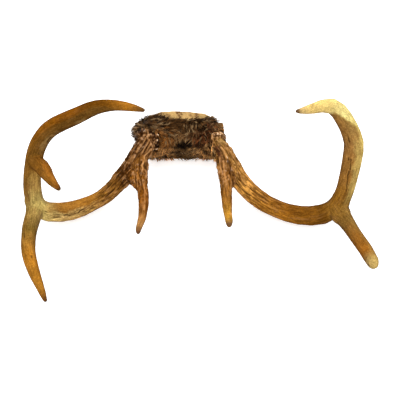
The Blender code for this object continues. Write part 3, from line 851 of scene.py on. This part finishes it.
def makeBone():
    piece, points, edges = evenCopy("skull_cap", "skull_bone", boneLook["skin"])
    points = relax(points, edges, 3, 0.5)
    setPoints(piece, points)
    normals = getNormals(piece)
    lumps = softNoise(points, 9.0, 501) * 0.35 + softNoise(points, 3.2, 502) * 0.18
    away, own = pebbles(points, 2.6, 510)
    pits = np.clip(1.0 - away / 0.3, 0, 1) * (own > 0.55)
    points = points + normals * np.where(points[:, 2] < 0.4, 0.0, lumps - 0.5 * pits - 0.2)[:, None]
    bare = window(points[:, 0], -58.0, -44.0, 14.0, 24.0)
    points[:, 1] += boneLook["lip"] * bare * ramp(118.0, 132.0, points[:, 1])
    points[:, 2] = np.maximum(points[:, 2], 0.0)
    setPoints(piece, points)
    # painted shade: the left end of the bone is darkened through the hollow mask
    shadedLeftEnd = 0.75 * ramp(-40.0, -50.0, points[:, 0])
    toStump = np.min([np.linalg.norm(points - middle, axis=1) for middle in pedicles], axis=0)
    keep(piece, {"hollow": np.clip(pits + np.clip(-lumps, 0, 1) * 0.5 + shadedLeftEnd, 0, 1),
                 "skinned": ramp(24.0, 19.0, toStump) * ramp(16.0, 22.0, points[:, 2])})
    piece.data.materials.append(makeBoneMaterial())
    smoothShade(piece)
    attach(piece, "root")
    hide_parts("skull_cap")
    return piece


bone = makeBone()
print("skull bone", len(bone.data.polygons), "quads")


def makeSkinMaterial():
    material, tree, shader = newMaterial("hide skin", 0.85, 0.15)
    place = ownPlace(tree)
    broad, fine = hideLook["patches"]
    patches = placeGroup(tree, patchGroup, Vector=place, Colour=hideLook["colour"], Broad_Amount=broad,
                         Fine_Amount=fine)
    fill(tree, shader, Base_Color=patches)
    bumpNode(tree, shader, noiseNode(tree, place, 900.0, 3.0), 0.8, 0.8)
    return material


def trimStraight(points):
    # what stands out beyond a straight cut is pressed back to it
    for way, limit in hairLook["trims"]:
        over = (points @ way - limit).clip(0.0)[..., None]
        points = points - (over - over / (1.0 + over * 0.4)) * way
    return points


def makeSkin():
    piece, points, edges = evenCopy("hide", "hide_skin", hideLook["skin"])
    boneTree = BVHTree.FromPolygons([v.co.copy() for v in bone.data.vertices],
                                    [p.vertices[:] for p in bone.data.polygons])
    away = np.array([boneTree.find_nearest(Vector(point * mm))[3] for point in points]) / mm
    points = relax(points, edges, 4, 0.5)
    setPoints(piece, points)
    outer = ramp(1.0, 6.0, away)
    points = points - getNormals(piece) * (hideLook["sink"] * outer)[:, None]
    points = relax(points, edges, 4, 0.4)
    left, right = hideLook["reach"]
    reach = (left * window(points[:, 0], -74.0, -66.0, -48.0, -36.0)
             + right * window(points[:, 0], -14.0, 0.0, 20.0, 28.0))
    points[:, 1] += reach * ramp(110.0, 121.0, points[:, 1])
    points = trimStraight(points)
    points[:, 2] = np.maximum(points[:, 2], 0.3)
    setPoints(piece, points)
    piece.data.materials.append(makeSkinMaterial())
    smoothShade(piece)
    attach(piece, "root")
    return piece, outer


skin, skinOuter = makeSkin()
print("hide skin", len(skin.data.polygons), "quads")


def rootSurface(piece, share, least):
    # the quads of a piece that hair may grow on, with their corners' places and directions
    quads = np.array([tuple(p.vertices) for p in piece.data.polygons if len(p.vertices) == 4])
    return getPoints(piece), getNormals(piece), quads[share[quads].mean(axis=1) > least]


def stumpSurface(antler, name):
    return rootSurface(antler, readAll(antler.data.attributes[name].data, "value", 1)[:, 0], 0.6)


def pickRoots(surface, count, random):
    # even random places on a surface
    points, normals, quads = surface
    area = np.linalg.norm(np.cross(points[quads[:, 2]] - points[quads[:, 0]],
                                   points[quads[:, 3]] - points[quads[:, 1]]), axis=1)
    chosen = quads[random.choice(len(quads), size=count, p=area / area.sum())]
    u, v = random.random(count)[:, None], random.random(count)[:, None]

    def blendCorners(values):
        return ((values[chosen[:, 0]] * (1 - u) + values[chosen[:, 1]] * u) * (1 - v)
                + (values[chosen[:, 3]] * (1 - u) + values[chosen[:, 2]] * u) * v)

    return blendCorners(points), unit(blendCorners(normals))


def coatFlow(roots):
    # which way the coat lies: back, parting round the antlers, swirling between them, sideways at the cut edge
    flow = np.tile((-0.15, -1.0, 0.0), (len(roots), 1))
    x, y = roots[:, 0], roots[:, 1]
    for side, middle in zip((-1.0, 1.0), pedicles):
        offset = roots[:, :2] - middle[:2]
        gap = np.linalg.norm(offset, axis=1)
        push = np.exp(-((gap - 14.0).clip(0) / 9.0) ** 2)[:, None]
        inner = ramp(2.0, -6.0, side * offset[:, 0])[:, None] * ramp(-26.0, -14.0, offset[:, 1])[:, None]
        flow[:, :2] += push * offset / gap[:, None].clip(1.0) * (1.1 - (1.9 if side > 0 else 1.2) * inner)
    # a band before the bare bone, the cut edge itself, and the two front corners
    edge = ramp(119.0, 124.0, y)
    for share, way in (
            (ramp(108.0, 114.0, y), (0.75, -0.65, 0.0)), (edge, (1.0, 0.1, 0.0)),
            (ramp(22.0, 30.0, x) * ramp(104.0, 112.0, y), (1.0, 0.25, 0.0)),
            (ramp(-64.0, -72.0, x) * ramp(100.0, 106.0, y), (-1.0, 0.1, 0.0))):
        flow = layOver(flow, share, way)
    turn = softNoise(roots, 15.0, 610) * 1.2 + softNoise(roots, 6.0, 611) * 0.6
    turn = turn * (1 - 0.7 * edge)
    cosTurn, sinTurn = np.cos(turn), np.sin(turn)
    flow[:, :2] = np.stack([flow[:, 0] * cosTurn - flow[:, 1] * sinTurn,
                            flow[:, 0] * sinTurn + flow[:, 1] * cosTurn], axis=1)
    return flow


# Where the hair is shorter: by how much, and the x and y between which that sets in.
shortHair = [
    (0.52, None, (96.0, 88.0)), (0.35, None, (118.0, 124.0)),                       # neck edge, front edge
    (0.35, (30.0, 37.0), (110.0, 104.0)), (0.45, (-64.0, -70.0), (92.0, 84.0)),     # outer sides
    (0.4, (24.0, 32.0), (106.0, 112.0)), (0.4, (-66.0, -72.0), (94.0, 100.0)),      # corners
]


def coatLength(roots):
    length = 1.0 + 0.25 * softNoise(roots, 7.0, 630)
    for less, sideways, forward in shortHair:
        there = ramp(*forward, roots[:, 1])
        if sideways:
            there = there * ramp(*sideways, roots[:, 0])
        length = length * (1.0 - less * there)
    return length


def coatColour(roots, clumps, random):
    x, y = roots[:, 0], roots[:, 1]
    mix = np.tile(hairLook["colour"], (len(roots), 1))
    rust = ramp(22.0, 8.0, np.hypot(x - 10, y - 98))
    dark = ramp(22.0, 9.0, np.hypot(x + 16, (y - 90) * 1.7))
    for share, name in (
            (ramp(21.0, 8.0, np.hypot(x + 40, (y - 98) * 0.8)) * 0.9, "orange"), (rust * 0.9, "rust"),
            (dark, "black"), (ramp(106.0, 114.0, y) * 0.85, "brown"), (ramp(121.0, 124.0, y) * 0.7, "black"),
            (ramp(-50.0, -62.0, x) * 0.45, "brown"), (ramp(22.0, 30.0, x) * ramp(102.0, 110.0, y) * 0.95, "tan"),
            (ramp(89.0, 84.0, y) * 0.7, "tan")):
        mix = layOver(mix, share, hairLook[name])
    mix *= np.exp(0.35 * (cellRandom(clumps, 650) - 0.5) * 2.0)[:, None]
    mix *= (1.0 + 0.3 * softNoise(roots, 9.0, 620))[:, None]
    lock = perLock(random.normal(0.0, 0.7, len(roots))) + random.normal(0.0, 0.15, len(roots))
    lift = 0.3 * ramp(112.0, 104.0, y) - 0.75 * dark - 0.35 * rust
    mix *= np.exp(lock.clip(None, 0.75) + lift)[:, None]
    pale = perLock(random.random(len(roots))) < hairLook["paleShare"] * (1.0 - 0.9 * dark)
    mix[pale] = np.array(hairLook["pale"]) * (0.35 + 0.65 * random.random((pale.sum(), 1)))
    return mix, pale


def perLock(values):
    # the same value for every hair of a lock
    return np.repeat(values[::hairLook["perLock"]], hairLook["perLock"], axis=0)[:len(values)]


def growHair(roots, facing, flow, length, random):
    # the way each hair leaves the skin, the way it ends up pointing, and its length; tufts lean together
    count = len(roots)
    clumps = np.floor(roots / hairLook["clump"] + 0.35 * softNoise(roots, 3.0, 645)[:, None])
    clumpTurn = np.stack([cellRandom(clumps, 660 + k) for k in range(3)], axis=1) - 0.5
    flow = unit(layFlat(flow, facing), 0.05) + clumpTurn * 0.5
    rise = hairLook["rise"] * (0.5 + cellRandom(clumps, 670)) * perLock(random.uniform(0.6, 1.4, count))
    stray = perLock(random.normal(0.0, 0.17, (count, 3))) + random.normal(0.0, 0.03, (count, 3))
    start = unit(facing * rise[:, None] + flow * 0.75 + stray)
    end = unit(facing * (rise * 0.2)[:, None] + flow + stray * 1.7)
    middle = (clumps + 0.5) * hairLook["clump"]
    lean = layFlat((middle - roots) * hairLook["gather"], facing)
    length = length * perLock(random.uniform(*hairLook["length"], count)) * random.uniform(0.9, 1.1, count)
    return start, end, length, lean, clumps


def overBurr(hairs):
    # the hairs that would lie across a burr or the neck in front of it
    across = np.zeros(len(hairs), dtype=bool)
    for burr, middle in zip((leftBurr, rightBurr), pedicles):
        low, high = burr["seen"]
        facing = np.array(burr["facing"]) / np.linalg.norm(burr["facing"])
        ahead = hairs @ facing - burr["at"]
        offset = hairs - middle
        offset = offset - (offset @ facing)[..., None] * facing
        inside = (np.linalg.norm(offset, axis=2) < hairLook["burrRoom"]) & (ahead > -2.5) & (ahead < 40.0)
        shows = (hairs[..., 0] > low) & (hairs[..., 0] < high)
        across |= (inside & (shows | (ahead > 9.0))).any(axis=1)
    return across


def hairShape():
    # a hair's ten points are three rings of three and a tip: its faces, and their corners' places on the hair's own
    # cell of the map
    faces, corners = [], []
    for level in range(2):
        for k in range(3):
            a, b = level * 3 + k, level * 3 + (k + 1) % 3
            faces.append((a, b, b + 3, a + 3))
            corners += [(k, level), (k + 1, level), (k + 1, level + 1), (k, level + 1)]
    for k in range(3):
        faces.append((6 + k, 6 + (k + 1) % 3, 9))
        corners += [(k, 2), (k + 1, 2), (k + 0.5, 2.88)]
    faces.append((2, 1, 0))
    corners += [(2.1, 2.91), (2.4, 2.97), (2.7, 2.91)]
    return faces, np.array(corners) / 3 * 0.8 + 0.1


def hairPoints(roots, facing, start, end, length, lean, size, random):
    # the three rings and the tip of every hair along its bend
    side = unit(np.cross(start, facing + random.normal(0.0, 0.2, roots.shape)), 1e-6)

    def along(share):
        return (roots - facing * 0.3 + start * (length * share)[:, None]
                + (end - start) * (length * share * share * 0.5)[:, None] + lean * share ** 1.5)

    rings = []
    for share, thick in hairLook["rings"]:
        lead = unit(start + (end - start) * share)
        across = unit(layFlat(side, lead), 1e-6)
        over = np.cross(lead, across)
        radius = (size * (thick * hairLook["root"]))[:, None]
        rings += [along(share) + (across * math.cos(a) + over * math.sin(a)) * radius for a in hairLook["ringAngles"]]
    return np.stack([*rings, along(1.0)], axis=1)


def makeHairPiece(index, surfaces):
    random = np.random.default_rng(900 + index)
    groups = []
    for kind, burr, surface, share in surfaces:
        locks = int(hairLook["perPiece"] * share / hairLook["perLock"])
        roots, facing = (np.repeat(values, hairLook["perLock"], axis=0)
                         for values in pickRoots(surface, locks, random))
        roots = roots + layFlat(random.normal(0.0, hairLook["lockWidth"], roots.shape), facing)
        if kind == "coat":
            flow, length = coatFlow(roots), coatLength(roots)
        else:
            # on the stump behind a burr the hair lies back, away from the ring
            way, part, noiseSeed = ((0.15, -1.0, 0.0), 0.45, 632)
            if kind == "stump":
                way, part, noiseSeed = (-np.array(burr["facing"]) * (0.5, 1.0, 0.6), 0.5, 631)
            flow = np.tile(way, (len(roots), 1))
            length = part * (1.0 + 0.3 * softNoise(roots, 5.0, noiseSeed))
        start, end, length, lean, clumps = growHair(roots, facing, flow, length, random)
        colour, pale = coatColour(roots, clumps, random)
        roots = roots + facing * (pale * hairLook["paleRaise"])[:, None]
        groups.append((roots, facing, start, end, length, lean, colour, np.full(len(roots), kind == "over")))
    *hairs, colour, laps = (np.concatenate(part) for part in zip(*groups))
    size = random.uniform(0.7, 1.25, len(laps))
    points = hairPoints(*hairs, size, random)
    points[:, :, 2] = np.maximum(points[:, :, 2], 0.3)
    stays = laps | ~overBurr(points)
    points, colour = trimStraight(points[stays]), colour[stays]
    count, perHair = points.shape[:2]

    faces, corners = hairShape()
    cornerPoints = (np.concatenate(faces)[None, :] + perHair * np.arange(count)[:, None]).ravel()
    sizes = np.tile([len(face) for face in faces], count)
    name = "hair_%d" % (index + 1)
    mesh = bpy.data.meshes.new(name)
    mesh.vertices.add(count * perHair)
    mesh.vertices.foreach_set("co", (points * mm).astype(np.float32).ravel())
    mesh.loops.add(len(cornerPoints))
    mesh.loops.foreach_set("vertex_index", cornerPoints.astype(np.int32))
    mesh.polygons.add(len(sizes))
    mesh.polygons.foreach_set("loop_start", (np.cumsum(sizes) - sizes).astype(np.int32))
    mesh.polygons.foreach_set("loop_total", sizes.astype(np.int32))
    mesh.update(calc_edges=True)
    across = math.ceil(math.sqrt(count))
    cell = np.stack([np.arange(count) % across, np.arange(count) // across], axis=1)
    layer = mesh.uv_layers.new(name="OFBake")
    layer.data.foreach_set("uv", ((cell[:, None, :] + corners) / across).astype(np.float32).ravel())
    piece = addObject(name, mesh)
    keepColour(piece, "hairTone", np.repeat(colour, perHair, axis=0))
    keep(piece, {"hairLevel": np.tile(np.array([0, 0, 0, 1, 1, 1, 2, 2, 2, 3]) / 3.0, count)})
    return piece


def makeHairMaterial():
    material, tree, shader = newMaterial("deer hair", 0.55, 0.06)
    # painted shade: each hair darker at its root, deep in the coat, and lighter at its tip
    shade = stretchNode(tree, attributeNode(tree, "hairLevel"), 0.0, 0.7, 0.35, 1.15)
    fill(tree, shader, Base_Color=scaleNode(tree, attributeNode(tree, "hairTone", "Color"), shade))
    return material


hairMaterial = makeHairMaterial()
surfaces = [("coat", None, rootSurface(skin, skinOuter, 0.12), 0.87)]
for antler, burr in zip(antlers, (leftBurr, rightBurr)):
    surfaces.append(("stump", burr, stumpSurface(antler, "stump"), 0.04))
    surfaces.append(("over", burr, stumpSurface(antler, "overgrown"), 0.025))
for index in range(hairLook["pieces"]):
    hair = makeHairPiece(index, surfaces)
    hair.data.materials.append(hairMaterial)
    smoothShade(hair)
    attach(hair, "root")
    if index == 0:
        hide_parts("hide")
print("hair done")


stageLook = {
    "floor": (0.93, 0.93, 0.925, 1.0),
    "floorGlow": 0.56,       # keeps the ground white, as on a light table
    "skyStrength": 0.95,
    "key": 26.0,             # watts
    "keySize": 1.6,          # metres
    "keyPlace": (-0.15, 0.75, 1.6),
}
cameraLook = {
    "raise": 72.0,           # degrees above the floor
    "distance": 1250.0,
    "target": (6.27, 5.4, 60.0),
    "focal": 985.0,          # in the photo's pixels
    "picture": 400.0,
}


def makeFloor():
    deselectAll()
    bpy.ops.mesh.primitive_plane_add(size=40.0, location=(0.0, 0.0, -0.0004))
    floor = bpy.context.active_object
    bpy.ops.object.transform_apply(location=True, rotation=True, scale=True)
    floor.name = "floor"
    material, tree, shader = newMaterial("pale floor", 0.9, 0.1)
    fill(tree, shader, Base_Color=stageLook["floor"], Emission_Color=stageLook["floor"],
         Emission_Strength=stageLook["floorGlow"])
    floor.data.materials.append(material)


def makeLights():
    world = bpy.data.worlds.new("soft studio")
    world.use_nodes = True
    sky = world.node_tree.nodes["Background"]
    sky.inputs["Color"].default_value = (1.0, 1.0, 1.0, 1.0)
    sky.inputs["Strength"].default_value = stageLook["skyStrength"]
    bpy.context.scene.world = world
    lamp = bpy.data.lights.new("soft key", "AREA")
    lamp.shape = "DISK"
    lamp.size = stageLook["keySize"]
    lamp.energy = stageLook["key"]
    holder = addObject("soft key", lamp)
    holder.location = stageLook["keyPlace"]
    aim = Vector((0.0, 0.0, 0.05)) - holder.location
    holder.rotation_euler = aim.to_track_quat("-Z", "Y").to_euler()


def makeCamera():
    lift = math.radians(cameraLook["raise"])
    forward = Vector((0.0, math.cos(lift), -math.sin(lift)))
    eye = bpy.data.cameras.new("photo view")
    eye.sensor_width = 36.0
    eye.lens = cameraLook["focal"] / cameraLook["picture"] * eye.sensor_width
    eye.clip_end = 20.0
    holder = addObject("photo view", eye)
    holder.location = (Vector(cameraLook["target"]) - forward * cameraLook["distance"]) * mm
    holder.rotation_euler = (math.radians(90.0) - lift, 0.0, 0.0)
    bpy.context.scene.camera = holder


makeFloor()
makeLights()
makeCamera()
bpy.context.scene.view_settings.view_transform = "Standard"

print("scene done")
